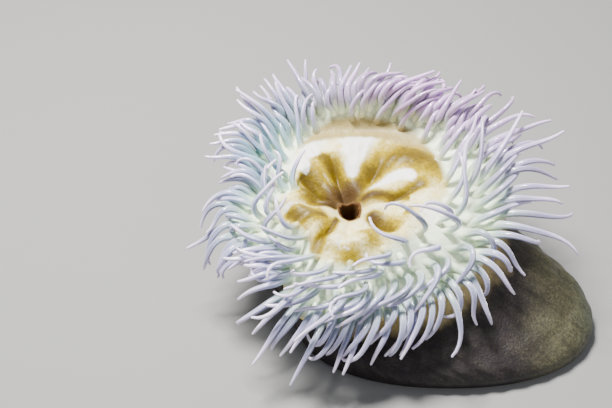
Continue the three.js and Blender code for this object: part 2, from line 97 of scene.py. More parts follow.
# %% Closed cubic through stations
def around(stations, bearing, value):
    """The value of the closed curve at each bearing. value picks a number out of a station."""
    bearing = np.mod(np.asarray(bearing, float), 360)
    x = np.array([station[0] for station in stations], float)
    y = np.array([value(station) for station in stations], float)
    x = np.concatenate([x[-2:] - 360, x, x[:3] + 360])
    y = np.concatenate([y[-2:], y, y[:3]])
    k = np.searchsorted(x, bearing, side="right") - 1
    span = x[k + 1] - x[k]
    t = (bearing - x[k]) / span
    slope_in = (y[k + 1] - y[k - 1]) / (x[k + 1] - x[k - 1]) * span
    slope_out = (y[k + 2] - y[k]) / (x[k + 2] - x[k]) * span
    return ((2 * t**3 - 3 * t**2 + 1) * y[k] + (t**3 - 2 * t**2 + t) * slope_in
            + (3 * t**2 - 2 * t**3) * y[k + 1] + (t**3 - t**2) * slope_out)


def column_of(number):
    """Picks one column out of a station."""
    return lambda station: station[number]


def outward(bearing):
    """The level direction at a bearing."""
    angle = np.radians(np.asarray(bearing, float))
    return np.stack([np.cos(angle), np.sin(angle), np.zeros_like(angle)], -1)


def wrap(angle):
    return np.mod(angle + 180, 360) - 180


def mix(a, b, t):
    return a + (b - a) * t


def unit(vector):
    return vector / np.linalg.norm(vector, axis=-1, keepdims=True)


UP = np.array([0.0, 0.0, 1.0])
print("rim at the front", round(float(around(RIM, 270, column_of(2)))), "mm above the floor")

# %% [markdown]
# ## The disc
#
# The disc is a height over the plan: flat at the lips, puffed up in a ridge, and swept up or
# down to the rim, with valleys sunk into it. The skin adds what the solids leave out: swollen
# lips with pleats, fine grooves that run out from the mouth, and soft uneven mounds.

# %% The disc's surface
SLOPE_STEP = 0.01       # the step in share that slopes are taken over


def mouth_radius(bearing):
    out = outward(bearing)
    return 1 / np.hypot(out[..., 0] / MOUTH_HALF_X, out[..., 1] / MOUTH_HALF_Y)


def foot_radius(bearing):
    out = np.abs(outward(bearing))
    reach = ((out[..., 0] / FOOT_HALF_LENGTH)**FOOT_SQUARENESS
             + (out[..., 1] / FOOT_HALF_WIDTH)**FOOT_SQUARENESS)
    return reach**(-1 / FOOT_SQUARENESS)


def bell(x, middle, width):
    return np.exp(-((x - middle) / width)**2)


def disc_height(bearing, share):
    rim = around(RIM, bearing, column_of(2))
    height = MOUTH_HEIGHT + (rim - MOUTH_HEIGHT) * np.maximum(share, 0)**DISC_SWEEP
    height = height + RIDGE * bell(share, RIDGE_AT, RIDGE_SPREAD) * (1 - bell(share, 0, RIDGE_START))
    for at, half_width, depth, middle, half_length in FOLDS:
        valley = depth * bell(wrap(bearing - at), 0, half_width) * bell(share, middle, half_length)
        height = height - valley
    return height


def disc_radius(bearing, share):
    inner = mouth_radius(bearing)
    return inner + (around(RIM, bearing, column_of(1)) - inner) * share


def over_mouth(bearing, distance, height):
    """The point at that distance from the mouth's axis and height above the floor."""
    place = outward(bearing) * np.asarray(distance)[..., None]
    place[..., 0] += MOUTH_X
    place[..., 1] += MOUTH_Y
    place[..., 2] = height
    return place


def disc_point(bearing, share):
    return over_mouth(bearing, disc_radius(bearing, share), disc_height(bearing, share))


def disc_outward(bearing, share):
    """A step out along the disc, on both sides of the place."""
    return disc_point(bearing, share + SLOPE_STEP) - disc_point(bearing, share - SLOPE_STEP)


def disc_normal(bearing, share):
    along = disc_outward(bearing, share)
    across = disc_point(bearing + 1, share) - disc_point(bearing - 1, share)
    return unit(np.cross(along, across))


# %% Fine relief of the disc
LIP_PUFF, LIP_AT, LIP_SPREAD = 1.8, 0.12, 0.08
LIP_ROLL, ROLL_REACH = 2.2, 0.05
FUNNEL_BEARING, FUNNEL_WIDTH, FUNNEL_DEPTH, FUNNEL_REACH = 98, 28, 6.5, 0.15
PLEATS, PLEAT_DEPTH, PLEAT_WOBBLE, PLEAT_REACH = 7, 0.45, 1.9, 0.14
CREASE_DEPTH, CREASE_WIDTH = 1.6, 3.2
GROOVES, GROOVE_DEPTH, GROOVE_WOBBLE = 48, 0.3, 0.7
GROOVE_AT, GROOVE_REACH = 0.55, 0.22
MOUND_HEIGHT, MOUND_AT, MOUND_REACH = 2.0, 0.5, 0.25


def disc_relief(bearing, share):
    """Height that the skin adds to the disc, in millimetres."""
    turn = np.radians(bearing)
    lips = LIP_PUFF * bell(share, LIP_AT, LIP_SPREAD) - LIP_ROLL * bell(share, 0, ROLL_REACH)
    facing_funnel = bell(wrap(bearing - FUNNEL_BEARING), 0, FUNNEL_WIDTH)
    funnel = FUNNEL_DEPTH * facing_funnel * bell(share, 0, FUNNEL_REACH)
    uneven = 0.7 + 0.4 * np.sin(2 * turn + 1) + 0.3 * np.sin(5 * turn)
    pleat_wave = np.cos(PLEATS * turn + PLEAT_WOBBLE * np.sin(2 * turn))
    pleats = PLEAT_DEPTH * uneven * pleat_wave * bell(share, 0, PLEAT_REACH)
    groove_wave = np.cos(GROOVES * turn + GROOVE_WOBBLE * np.sin(5 * turn))
    grooves = GROOVE_DEPTH * groove_wave * bell(share, GROOVE_AT, GROOVE_REACH)
    mound_wave = np.sin(6 * turn + 7 * share) * np.sin(11 * share + 2 * turn)
    mounds = MOUND_HEIGHT * mound_wave * bell(share, MOUND_AT, MOUND_REACH)
    relief = lips - funnel + pleats + grooves + mounds
    for at, _, _, middle, half_length in FOLDS[:ROUND_MOUTH]:
        crease = bell(wrap(bearing - at), 0, CREASE_WIDTH) * bell(share, middle, half_length)
        relief = relief - CREASE_DEPTH * crease
    return relief


def skin_disc(bearing, share):
    place = disc_point(bearing, share)
    place[..., 2] += disc_relief(bearing, share)
    return place


print("lips stand", round(float(skin_disc(0, 0.07)[2]), 1), "mm above the floor")

# %% [markdown]
# ## The body's sections
#
# At each bearing the body is one line, from the middle of the foot out and up the column, over
# the rim, in across the disc and down the throat. The column is a Bezier curve. It is plump at
# the front, drawn in to a waist at the back and right, and bulges on the side that the crown
# leans away from. The skin rounds the edges of the foot and the rim, and adds soft ribs,
# wrinkles and one deep crease to the column.

# %% One line from the foot to the throat
COLUMN_ROWS, RIM_ROWS, DISC_ROWS, THROAT_ROWS = 34, 5, 58, 5
FOOT_SHARES = (0.3, 0.6, 0.85, 0.96)
FOOT_ROUNDING = (30, 60)            # angles of the rows round the foot's lower edge
BELOW_RIM, BEHIND_RIM = 0.93, 0.92  # places on the column and the disc that the rim runs between
LIP_CROWDING = 0.45                 # how much closer the disc's rows lie at the lips
LIP_START, THROAT_PLEATS = 0.04, 0.5    # where the throat's curve starts, the relief it keeps
PIT_PULL, PIT_DROP = 0.35, 1.5      # the rounding of the throat's bottom
RIBS, RIB_DEPTH, RIB_WOBBLE, RIB_LEFT = 36, 0.8, 1.3, 0.35
WRINKLE_DEPTH, WRINKLES = 0.7, 9
# The deep crease: its bearing and half arc, how far up it lies, half height, waver and depth.
SINK_BEARING, SINK_ARC, SINK_AT, SINK_HEIGHT, SINK_WAVER, SINK_DEPTH = -12, 30, 0.33, 0.045, 0.02, 3.0


def under_rim(bearing):
    return disc_point(bearing, 1) - outward(bearing) * RIM_INSET - UP * RIM_DROP


def column_curve(bearing, t):
    """The column's side, from the foot's edge (t = 0) to the underside of the rim (t = 1)."""
    out = outward(bearing)
    foot_edge = out * foot_radius(bearing)[..., None] + UP * FOOT_EDGE_HEIGHT
    under = under_rim(bearing)
    height = under[..., 2:3]
    waist = (0.5 + 0.5 * np.cos(np.radians(bearing - WAIST_BEARING))[..., None])**2
    rise, reach, bulge, fall = (mix(PLUMP[name], WAISTED[name], waist) for name in PLUMP)
    lean = np.cos(np.radians(bearing - LEAN_BEARING))[..., None]
    low = foot_edge + UP * rise * height + out * reach
    high = under + out * (bulge + LEAN_BULGE * lean * (1 - waist)) - UP * fall * height
    return ((1 - t)**3 * foot_edge + 3 * (1 - t)**2 * t * low + 3 * (1 - t) * t**2 * high + t**3 * under)


def rib_phase(bearing):
    turn = np.radians(bearing)
    return RIBS * turn + RIB_WOBBLE * np.sin(3 * turn)


def column_relief(bearing, t):
    """How far the skin stands out from the column's curve."""
    turn = np.radians(bearing)
    swell = math.sin(math.pi * t)
    ribs = RIB_DEPTH * np.cos(rib_phase(bearing)) * (RIB_LEFT + (1 - RIB_LEFT) * (1 - t)) * min(1, 8 * t)
    waver = 1.5 * np.sin(2 * turn) + 0.8 * np.sin(5 * turn)
    wrinkles = WRINKLE_DEPTH * np.sin(WRINKLES * math.pi * t + waver) * swell
    sink_at = SINK_AT + SINK_WAVER * np.sin(3 * turn)
    sink = SINK_DEPTH * bell(wrap(bearing - SINK_BEARING), 0, SINK_ARC) * bell(t, sink_at, SINK_HEIGHT)
    return (ribs + wrinkles) * swell**0.5 - sink


def edge_point(bearing):
    return disc_point(bearing, 1) + outward(bearing) * RIM_EDGE_REACH - UP * RIM_EDGE_DROP


def through(points, t):
    """The middle stretch of a smooth curve through four points."""
    a, b, c, d = points
    return 0.5 * (2 * b + (c - a) * t + (2 * a - 5 * b + 4 * c - d) * t**2 + (3 * b - a - 3 * c + d) * t**3)


def body_rows(bearing):
    """Rows of points from the middle of the foot to the bottom of the throat, with each row's
    share: 2 on the foot, 1.6 at the column's top, 1 at the rim, 0 at the lips and -1 in the pit."""
    out = outward(bearing)
    flat_edge = out * (foot_radius(bearing) - FOOT_EDGE_INSET)[..., None]
    rows = [(flat_edge * share, 2) for share in (0, *FOOT_SHARES, 1)]
    edge_centre = flat_edge + UP * FOOT_EDGE_HEIGHT
    for angle in np.radians(FOOT_ROUNDING):
        rows.append((edge_centre + out * FOOT_EDGE_INSET * math.sin(angle)
                     - UP * FOOT_EDGE_HEIGHT * math.cos(angle), 2))
    for k in range(COLUMN_ROWS):
        t = k / COLUMN_ROWS
        rows.append((column_curve(bearing, t) + out * column_relief(bearing, t)[..., None], 2 - 0.4 * t))
    rim_line = [column_curve(bearing, BELOW_RIM), under_rim(bearing), edge_point(bearing),
                skin_disc(bearing, 1.0), skin_disc(bearing, BEHIND_RIM)]
    for start, low, high in ((0, 1.6, 1.2), (1, 1.2, 1.0)):
        for k in range(RIM_ROWS):
            t = k / RIM_ROWS
            rows.append((through(rim_line[start:start + 4], t), mix(low, high, t)))
    for k in range(DISC_ROWS + 1):
        share = 1 - k / DISC_ROWS
        share = share * (1 - LIP_CROWDING + LIP_CROWDING * share)
        rows.append((skin_disc(bearing, share), share))
    lips = skin_disc(bearing, 0.0)
    relief = disc_relief(bearing, 0.0)
    width = mouth_radius(bearing)
    throat_line = [skin_disc(bearing, LIP_START), lips]
    for shrink, depth in THROAT:
        pleated = width * shrink + relief * THROAT_PLEATS * shrink
        throat_line.append(over_mouth(bearing, pleated, MOUTH_HEIGHT - depth))
    pit = over_mouth(bearing, width * 0, MOUTH_HEIGHT - THROAT_DEPTH)
    throat_line += [pit * PIT_PULL + throat_line[-1] * (1 - PIT_PULL) - UP * PIT_DROP, pit]
    for start in range(len(throat_line) - 3):
        for k in range(THROAT_ROWS):
            t = k / THROAT_ROWS
            if start or k:
                rows.append((through(throat_line[start:start + 4], t), -(start + t) / 4))
    rows.append((pit, -1))
    return rows


print("rows in a section:", len(body_rows(np.zeros(1))))

# %% [markdown]
# ## Where the tentacles root and which way they lie
#
# The tentacles stand in four cycles, each with its own number, length and place between the
# bare disc and the rim. Each one leaves the disc along its normal, bends over in an S to the
# way that the current lays the crown at its bearing, and ends in a hook. Numbers that look
# random and are the same every time make each one different.

# %% Sizes of the crown
# Cycles: how many, where they root from the bare disc (0) to the rim (1), length, root radius,
# and the turn of the first one in steps of the cycle.
CYCLES = [(24, 0, 41, 2.1, 0), (24, 0.27, 43, 2.3, 0.5), (48, 0.58, 44, 2.6, 0.5),
          (96, 1, 43, 2.8, 0.5)]
TIP, TAPER, LAST_ROOT, STAGGER, POINTS = 0.75, 0.85, 0.95, 0.035, 15
BENT_BY, INNER_SPLAY, OUTER_SPLAY, SPLAY_FROM, OUTER_PULL = 0.75, 0.15, 0.9, 0.5, 1.2

# Bearing, heading and pitch of the outer tips, heading and pitch of the inner tips, factor on
# the length, and the share of the disc that stays bare.
FLOW = [(0, 2, -12, 110, 20, 1.2, 0.58), (30, 30, 10, 60, 20, 0.97, 0.66),
        (53, 45, 0, 50, 20, 0.8, 0.8), (77, 25, -5, 30, 10, 0.88, 0.86),
        (101, 110, 10, 70, 30, 0.78, 0.85), (126, 150, 20, 100, 20, 0.85, 0.68),
        (147, 180, 8, 130, 30, 0.85, 0.56), (159, 170, 10, 60, 40, 0.72, 0.5),
        (175, 208, -35, 70, 25, 0.85, 0.58), (197, 225, -55, 30, 30, 0.88, 0.62),
        (220, 185, 0, 150, 20, 0.75, 0.58), (240, 205, -40, 185, 5, 1, 0.6),
        (274, 218, -48, 180, 5, 1.1, 0.64), (303, 228, -52, 178, 8, 1.08, 0.58),
        (324, 285, -55, 165, 15, 1.02, 0.55), (344, 335, -35, 150, 20, 1.15, 0.56)]

# How far one tentacle differs from the next, and where each kind of difference starts in the
# row of random numbers.
VARY = {"bearing": 0.4, "root": 0.05, "outer_root": 0.02, "inner_heading": 50,
        "outer_heading": 26, "pitch": 26, "shortest": 0.82, "length": 0.36, "wave": 0.8,
        "hook": 2.5, "hook_bias": 0.2, "hook_from": 0.6, "hook_curve": 1.5, "roll": 6.3,
        "outer_roll": 2.2}
DRAW = {"bearing": 0, "root": 500, "heading": 1000, "pitch": 1500, "length": 2000, "wave": 2500,
        "hook": 3000, "roll": 3500, "tint": 4000, "swell": 4500}


# %% Growing the centre lines
def noise(number):
    """A number from 0 to 1 that looks random and is the same every time."""
    value = np.sin(number * 12.9898 + 4.1) * 43758.5453
    return value - np.floor(value)


def direction(bearing, pitch):
    level = outward(bearing) * np.cos(np.radians(pitch))[..., None]
    return level + UP * np.sin(np.radians(pitch))[..., None]


def turned(vector, axis, angle):
    """Each vector turned about its own axis."""
    cos, sin = np.cos(angle)[..., None], np.sin(angle)[..., None]
    part = np.sum(vector * axis, -1, keepdims=True)
    return vector * cos + np.cross(axis, vector) * sin + axis * part * (1 - cos)


def flow_heading(bearing, number):
    cos = around(FLOW, bearing, lambda station: math.cos(math.radians(station[number])))
    sin = around(FLOW, bearing, lambda station: math.sin(math.radians(station[number])))
    return np.degrees(np.arctan2(sin, cos))


def tip_direction(bearing, share, index):
    """The way the tips point: the inner ones over the disc, the outer ones away from it."""
    outer = (share**OUTER_PULL)[..., None]
    inner_way = direction(flow_heading(bearing, 3), around(FLOW, bearing, column_of(4)))
    outer_way = direction(flow_heading(bearing, 1), around(FLOW, bearing, column_of(2)))
    mixed = unit(mix(inner_way, outer_way, outer))
    swing = (noise(index + DRAW["heading"]) - 0.5) * mix(VARY["inner_heading"], VARY["outer_heading"], share)
    nod = (noise(index + DRAW["pitch"]) - 0.5) * VARY["pitch"]
    heading = np.degrees(np.arctan2(mixed[:, 1], mixed[:, 0]))
    pitch = np.degrees(np.arcsin(mixed[:, 2]))
    return direction(heading + swing, pitch + nod)


def grow_crown():
    """Root bearing, root share, root radius and centre line of every tentacle."""
    rows = [(share, length, root, (k + turn) * 360 / count, 360 / count, k % 2)
            for count, share, length, root, turn in CYCLES for k in range(count)]
    cycle_share, length, root, bearing, step, odd = np.array(rows, float).T
    index = np.arange(len(rows))
    bearing = bearing + (noise(index + DRAW["bearing"]) - 0.5) * VARY["bearing"] * step
    jitter = (noise(index + DRAW["root"]) - 0.5) * mix(VARY["root"], VARY["outer_root"], cycle_share)
    share = mix(around(FLOW, bearing, column_of(6)), LAST_ROOT, cycle_share) + jitter
    share = share - STAGGER * odd * (cycle_share == 1)

    near_rim = np.clip((share - SPLAY_FROM) / (LAST_ROOT - SPLAY_FROM), 0, 1)
    splay = mix(INNER_SPLAY, OUTER_SPLAY, near_rim)[:, None]
    start = unit(disc_normal(bearing, share) + outward(bearing) * splay)
    end = tip_direction(bearing, cycle_share, index)
    side = unit(np.cross(start, end) + np.array([1e-4, 0, 1e-4]))
    length = length * around(FLOW, bearing, column_of(5)) * (
        VARY["shortest"] + VARY["length"] * noise(index + DRAW["length"]))
    wave = (noise(index + DRAW["wave"]) - 0.5) * VARY["wave"]
    hook = (noise(index + DRAW["hook"]) - VARY["hook_bias"]) * VARY["hook"]
    roll = (noise(index + DRAW["roll"]) - 0.5) * mix(VARY["roll"], VARY["outer_roll"], cycle_share)

    line = [disc_point(bearing, share)]
    for i in range(1, POINTS):
        s = (i - 0.5) / (POINTS - 1)
        t = min(1, s / BENT_BY)
        way = unit(mix(start, end, t * t * (3 - 2 * t)))
        way = turned(way, side, wave * math.sin(2 * math.pi * s))
        curl = max(0, (s - VARY["hook_from"]) / (1 - VARY["hook_from"]))**VARY["hook_curve"]
        way = turned(way, turned(side, way, roll), hook * curl)
        line.append(line[-1] + way * (length / (POINTS - 1))[:, None])
    return bearing, share, root, np.stack(line, 1)


def tentacle_radius(root, s):
    return TIP + (root - TIP) * (1 - s)**TAPER


root_bearing, root_share, root_radius, rest_lines = grow_crown()
print(len(rest_lines), "tentacles, each with", rest_lines.shape[1], "points")

# %% [markdown]
# ## Easing the tentacles apart
#
# Grown on their own, the tentacles would run through each other and through the body. Live
# ones slide past each other, so each round pushes every point clear of what it touches and
# smooths the moves along the tentacle, which bends instead of kinking. It needs no simulation,
# so it gives the same result each time.

# %% Points on the body to keep off
BETWEEN, OFF_BODY, OFF_FLOOR = 0.45, 0.5, 3
ROUNDS, REGROUP, RESEAT = 80, 10, 4
BOX_MARGIN, BODY_REACH, FOLLOW, LAST_OWN, STIFF_POINTS = 5, 14, 0.65, 0.4, 3


def body_samples():
    """Points all over the body with the way that each faces."""
    bearing = np.arange(0, 360, 5)
    line = [outward(bearing) * (foot_radius(bearing) - FOOT_EDGE_INSET)[:, None]]
    line += [column_curve(bearing, k / 8) for k in range(9)]
    line += [edge_point(bearing)] + [disc_point(bearing, 1 - k / 14) for k in range(15)]
    grid = np.stack(line, 1)
    across = np.roll(grid, -1, 0) - np.roll(grid, 1, 0)
    along = np.concatenate([grid[:, 1:], grid[:, -1:]], 1) - np.concatenate([grid[:, :1], grid[:, :-1]], 1)
    return grid.reshape(-1, 3), unit(np.cross(across, along)).reshape(-1, 3)


body_points, body_facing = body_samples()
print(len(body_points), "points on the body")


# %% Easing apart
def close_pairs(lines):
    low, high = lines.min(1) - BOX_MARGIN, lines.max(1)
    one, other = np.triu_indices(len(lines), 1)
    near = np.all((low[one] < high[other]) & (lines.min(1)[other] < high[one] + BOX_MARGIN), -1)
    return one[near], other[near]


def pushed_apart(lines, radii, pairs):
    """The mean push on each point from the tentacles that it touches."""
    one, other = pairs
    gap = lines[one][:, :, None] - lines[other][:, None]
    distance = np.linalg.norm(gap, axis=-1)
    deep = np.maximum(0, radii[one][:, :, None] + radii[other][:, None] + BETWEEN - distance)
    shove = gap * (deep / np.maximum(distance, 1e-9) / 2)[..., None]
    touching = (deep > 0).astype(float)
    push, hits = np.zeros_like(lines), np.zeros(lines.shape[:2])
    np.add.at(push, one, shove.sum(2))
    np.add.at(push, other, -shove.sum(1))
    np.add.at(hits, one, touching.sum(2))
    np.add.at(hits, other, touching.sum(1))
    return push / np.maximum(1, hits)[..., None]


def nearest_seats(lines):
    """The body point nearest to each point of each line."""
    flat = lines.reshape(-1, 3)
    size = np.sum(body_points**2, 1)
    return np.concatenate([np.argmin(size - 2 * part @ body_points.T, 1)
                           for part in np.array_split(flat, 8)]).reshape(lines.shape[:2])


def ease_apart(rest, radii):
    free = np.clip((np.arange(POINTS) - 1) / STIFF_POINTS, 0, 1)[:, None]
    moved = np.zeros_like(rest)
    for step in range(ROUNDS):
        lines = rest + moved
        if step % REGROUP == 0:
            pairs = close_pairs(lines)
        if step % RESEAT == 0:
            seats = nearest_seats(lines)
        push = pushed_apart(lines, radii, pairs)
        offset = lines - body_points[seats]
        sunk = radii + OFF_BODY - np.sum(offset * body_facing[seats], -1)
        near = np.linalg.norm(offset, axis=-1) < BODY_REACH
        push += body_facing[seats] * (np.maximum(0, sunk) * near)[..., None]
        push[..., 2] += np.maximum(0, OFF_FLOOR - (lines[..., 2] - radii))
        moved += push * free
        even = moved.copy()
        even[:, 1:-1] = 0.5 * moved[:, 1:-1] + 0.25 * moved[:, :-2] + 0.25 * moved[:, 2:]
        even[:, -1] = mix(moved[:, -2], moved[:, -1], LAST_OWN)
        even[:, :2] = 0
        moved = mix(moved, even, FOLLOW)
    return rest + moved


line_radii = tentacle_radius(root_radius[:, None], np.linspace(0, 1, POINTS))
lines = ease_apart(rest_lines, line_radii)
print("moved by up to", round(float(np.abs(lines - rest_lines).max()), 1), "mm")

# %% [markdown]
# ## The skin's mesh
#
# A UV sphere already has what this body needs: rings of quads and a closed pole at each end.
# So the sphere's latitudes become the rows from the foot to the throat, its longitudes become
# the bearings, and every vertex moves to its place. Each tentacle is a small sphere too, drawn
# out along its centre line. All of it is one mesh, and numbers kept on the vertices tell the
# material which part of the animal it is on.

# %% A sphere with numbered rings
skin = bmesh.new()
parts = []      # the places and numbers of the skin's vertices, one entry for each sphere


def numbered_sphere(turns, rings):
    """A sphere's mesh, and the ring (0 at the bottom pole) and the turn of its vertices."""
    ball = bmesh.new()
    bmesh.ops.create_uvsphere(ball, u_segments=turns, v_segments=rings, radius=1)
    place = np.array([vert.co for vert in ball.verts])
    shape = bpy.data.meshes.new("ball")
    ball.to_mesh(shape)
    ball.free()
    ring = np.rint(np.arccos(np.clip(-place[:, 2], -1, 1)) / math.pi * rings).astype(int)
    turn = np.rint(np.arctan2(place[:, 1], place[:, 0]) / (2 * math.pi) * turns).astype(int) % turns
    return shape, ring, turn


def add_to_skin(shape, places, numbers):
    """Adds a sphere whose vertices will lie at places, with the numbers that they keep."""
    skin.from_mesh(shape)
    parts.append({"place": places * MM, **numbers})


# %% [markdown]
# ## Markings, painted highlights and painted shade of the disc
#
# Olive and ochre streaks run out from the mouth over a cream disc. Between them lie chalk white
# painted highlights, and painted shade lies in a dusky band inside the far rim and in a few valleys.
# They are soft at their edges, so a short list of streaks is enough, and each vertex keeps how
# strongly it is marked. Noise in the material breaks them up later.

# %% Streaks, painted highlights and painted shade by bearing and share
# Bearing and share at the start and at the end, half widths in degrees there, and strength.
OCHRE = [
    (105, -0.1, 105, 0.14, 75, 38, 1.0), (98, 0.02, 112, 0.44, 14, 11, 1.0),
    (128, 0.02, 134, 0.36, 14, 12, 0.6), (158, 0.02, 149, 0.4, 24, 17, 1.0),
    (176, 0.05, 160, 0.46, 12, 8, 0.8), (82, 0.02, 62, 0.3, 18, 12, 0.8),
    (62, 0.3, 40, 0.62, 14, 24, 0.75), (40, 0.04, 14, 0.26, 14, 7, 0.9),
    (14, 0.26, 15, 0.43, 6, 6, 0.95), (4, 0.32, 342, 0.34, 6, 7, 0.8),
    (327, 0.1, 312, 0.38, 15, 17, 1.0), (236, 0.1, 238, 0.62, 10, 6, 0.9),
    (42, 0.46, 38, 0.68, 22, 22, 0.6), (262, 0.5, 275, 0.66, 14, 12, 0.55),
    (208, 0.2, 203, 0.52, 18, 14, 0.95), (284, 0.28, 292, 0.5, 8, 10, 0.5),
]
# Painted highlights: chalk white where light falls on the disc.
PAINTED_HIGHLIGHTS = [
    (85, 0.24, 84, 0.66, 8, 15, 1.0), (120, 0.5, 116, 0.66, 8, 12, 0.9),
    (136, 0.42, 138, 0.6, 7, 9, 0.9), (36, 0.3, 27, 0.38, 8, 8, 1.0), (48, 0.16, 40, 0.24, 7, 7, 0.7),
    (345, 0.45, 350, 0.7, 14, 20, 0.6), (255, 0.3, 262, 0.52, 8, 12, 0.45),
    (120, 0.1, 122, 0.26, 4, 4, 0.4), (188, 0.3, 190, 0.55, 5, 6, 0.5),
]
# Painted shade: a band inside the far rim and patches in a few valleys.
PAINTED_SHADE_PATCHES = [
    (66, 0.7, 62, 0.93, 32, 26, 1.0), (106, 0.72, 104, 0.93, 26, 20, 0.9),
    (157, 0.8, 158, 0.98, 6, 7, 0.9), (229, 0.56, 227, 0.74, 5, 6, 0.9),
    (200, 0.3, 205, 0.42, 10, 9, 0.35), (238, 0.48, 238, 0.62, 4, 4, 0.5),
]


STREAK_END = 0.05       # how softly a streak ends, in shares


def marked(streaks, bearing, share):
    """How strongly each place is marked by any of the streaks, from 0 to 1."""
    clear = np.ones(np.broadcast(bearing, share).shape)
    for from_bearing, from_share, to_bearing, to_share, from_width, to_width, strength in streaks:
        t = np.clip((share - from_share) / (to_share - from_share), 0, 1)
        turn = from_bearing + wrap(to_bearing - from_bearing) * t
        beyond = np.maximum(np.maximum(from_share - share, share - to_share), 0)
        across = bell(wrap(bearing - turn), 0, mix(from_width, to_width, t))
        clear = clear * (1 - strength * across * bell(beyond, 0, STREAK_END))
    return 1 - clear


print("ochre at bearing 105, share 0.3:", round(float(marked(OCHRE, 105.0, 0.3)), 2))

# %% The body's vertices
BEARINGS = 288
DISC_END, DISC_FADE = 1.15, 0.15            # the disc's markings fade out past its rim
ROOTED_BEFORE, ROOTED_FADE = 0.05, 0.09     # mint starts just before the first roots
LILAC_BEARING, LILAC_ARC, TEAL_BEARING, TEAL_ARC = 60, 50, 140, 28
bearings = np.arange(BEARINGS) * 360 / BEARINGS
rows = body_rows(bearings)
body_places = np.stack([place for place, share in rows])
body_shares = np.array([share for place, share in rows], float)


def body_numbers(bearing, share, height):
    """The numbers that the material reads, for places on the body."""
    on_disc = np.clip((DISC_END - share) / DISC_FADE, 0, 1)
    bare = around(FLOW, bearing, column_of(6))
    rooted = np.clip((share - bare + ROOTED_BEFORE) / ROOTED_FADE, 0, 1)
    return {"share": share, "along": share * 0, "stripe": share * 0, "height": height,
            "ochre": marked(OCHRE, bearing, share) * on_disc,
            # The painted highlights and painted shade of the disc are kept like its markings.
            "painted_highlight": marked(PAINTED_HIGHLIGHTS, bearing, share) * on_disc,
            "painted_shade": marked(PAINTED_SHADE_PATCHES, bearing, share) * on_disc,
            "rooted": rooted * on_disc,
            "lilac": bell(wrap(bearing - LILAC_BEARING), 0, LILAC_ARC),
            "teal": bell(wrap(bearing - TEAL_BEARING), 0, TEAL_ARC),
            "own": share * 0 + 0.5, "rib": np.cos(rib_phase(bearing)) * 0.5 + 0.5}


body_ball, ring, turn = numbered_sphere(BEARINGS, len(rows) - 1)
places = body_places[ring, turn]
add_to_skin(body_ball, places, body_numbers(bearings[turn], body_shares[ring], places[:, 2]))
print("body vertices:", len(places))

# %% [markdown]
# ## The tentacles' flesh
#
# A tentacle grows out of the disc without an edge, so the rings at its root lie on the disc
# like the foot of a vase and sink a little under it. Then the rings follow the centre line.
# Each ring's frame is the last one's, turned as little as the line turns, so nothing twists.

# %% Tentacle surfaces
TURNS, RINGS = 8, 18
ROOT_RINGS = [(1.5, -0.3), (1.24, 0.1), (1.05, 0.6)]   # spread on the disc, height off it
SWELL, SWELLS = 0.07, 2.3
ROOT_SINK, LAST_SHARE = 2, 1.04                # how deep a root starts, and how far out it may lie
CAP_AT, CAP_RADIUS = 0.7, 0.66                 # the ring that rounds the tip, in tip radii
tentacle_ball, tentacle_ring, tentacle_turn = numbered_sphere(TURNS, RINGS)


def along_disc(bearing, share, across, out):
    """The disc's skin at a step across and a step outwards in millimetres."""
    here = disc_point(bearing, share)
    per_degree = np.linalg.norm(disc_point(bearing + 1, share) - here, axis=-1)
    per_share = np.linalg.norm(disc_point(bearing, share + SLOPE_STEP) - here, axis=-1) / SLOPE_STEP
    return skin_disc(bearing + across / per_degree, np.minimum(share + out / per_share, LAST_SHARE))


def finer(line, count):
    """A smooth line through the points, cut into count equal steps, as count + 1 places."""
    ends = np.concatenate([2 * line[:1] - line[1:2], line, 2 * line[-1:] - line[-2:-1]])
    dense = [through(ends[k:k + 4], t) for k in range(len(line) - 1) for t in np.linspace(0, 1, 6)[:-1]]
    dense = np.array(dense + [line[-1]])
    length = np.concatenate([[0], np.cumsum(np.linalg.norm(np.diff(dense, axis=0), axis=1))])
    steps = np.linspace(0, length[-1], count + 1)
    return np.stack([np.interp(steps, length, dense[:, axis]) for axis in range(3)], 1), length[-1]


def make_tentacle(number):
    bearing, share, root = root_bearing[number], root_share[number], root_radius[number]
    body_rings = RINGS - len(ROOT_RINGS) - 2          # rings on the line, without root and cap
    line, length = finer(lines[number], body_rings)
    way = unit(np.gradient(line, axis=0))
    normal = disc_normal(bearing, share)
    out = disc_outward(bearing, share)
    angle = np.arange(TURNS) * 2 * math.pi / TURNS
    cos, sin = np.cos(angle), np.sin(angle)

    rings = [np.repeat(line[:1] - normal * ROOT_SINK, TURNS, 0)]
    alongs = [0.0]
    for spread, height in ROOT_RINGS:
        rings.append(along_disc(bearing, share, root * spread * sin, root * spread * cos) + normal * height)
        alongs.append(0.0)
    side = unit(out - way[0] * np.dot(out, way[0]))
    swell = noise(number + DRAW["swell"]) * 2 * math.pi
    for k in range(1, body_rings + 1):
        side = unit(side - way[k] * np.dot(side, way[k]))
        other = np.cross(way[k], side)
        s = k / body_rings
        radius = tentacle_radius(root, s) * (1 + SWELL * math.sin(SWELLS * 2 * math.pi * s + swell) * (1 - s))
        rings.append(line[k] + radius * (cos[:, None] * side + sin[:, None] * other))
        alongs.append(s)
    cap = line[-1] + way[-1] * TIP * CAP_AT
    rings.append(cap + CAP_RADIUS * TIP * (cos[:, None] * side + sin[:, None] * other))
    rings.append(np.repeat((line[-1] + way[-1] * TIP)[None], TURNS, 0))
    alongs += [1.0, 1.0]

    places = np.array(rings)[tentacle_ring, tentacle_turn]
    same = np.ones(len(places))
    numbers = body_numbers(bearing * same, share * same, places[:, 2])
    # Every other vertex round a tentacle carries a pale stripe, partly a painted highlight.
    numbers.update(along=np.array(alongs)[tentacle_ring], own=noise(number + DRAW["tint"]) * same,
                   stripe=tentacle_turn % 2 * same)
    add_to_skin(tentacle_ball, places, numbers)
    return length


lengths = [make_tentacle(number) for number in range(len(lines))]
print("tentacles are", round(min(lengths)), "to", round(max(lengths)), "mm long")

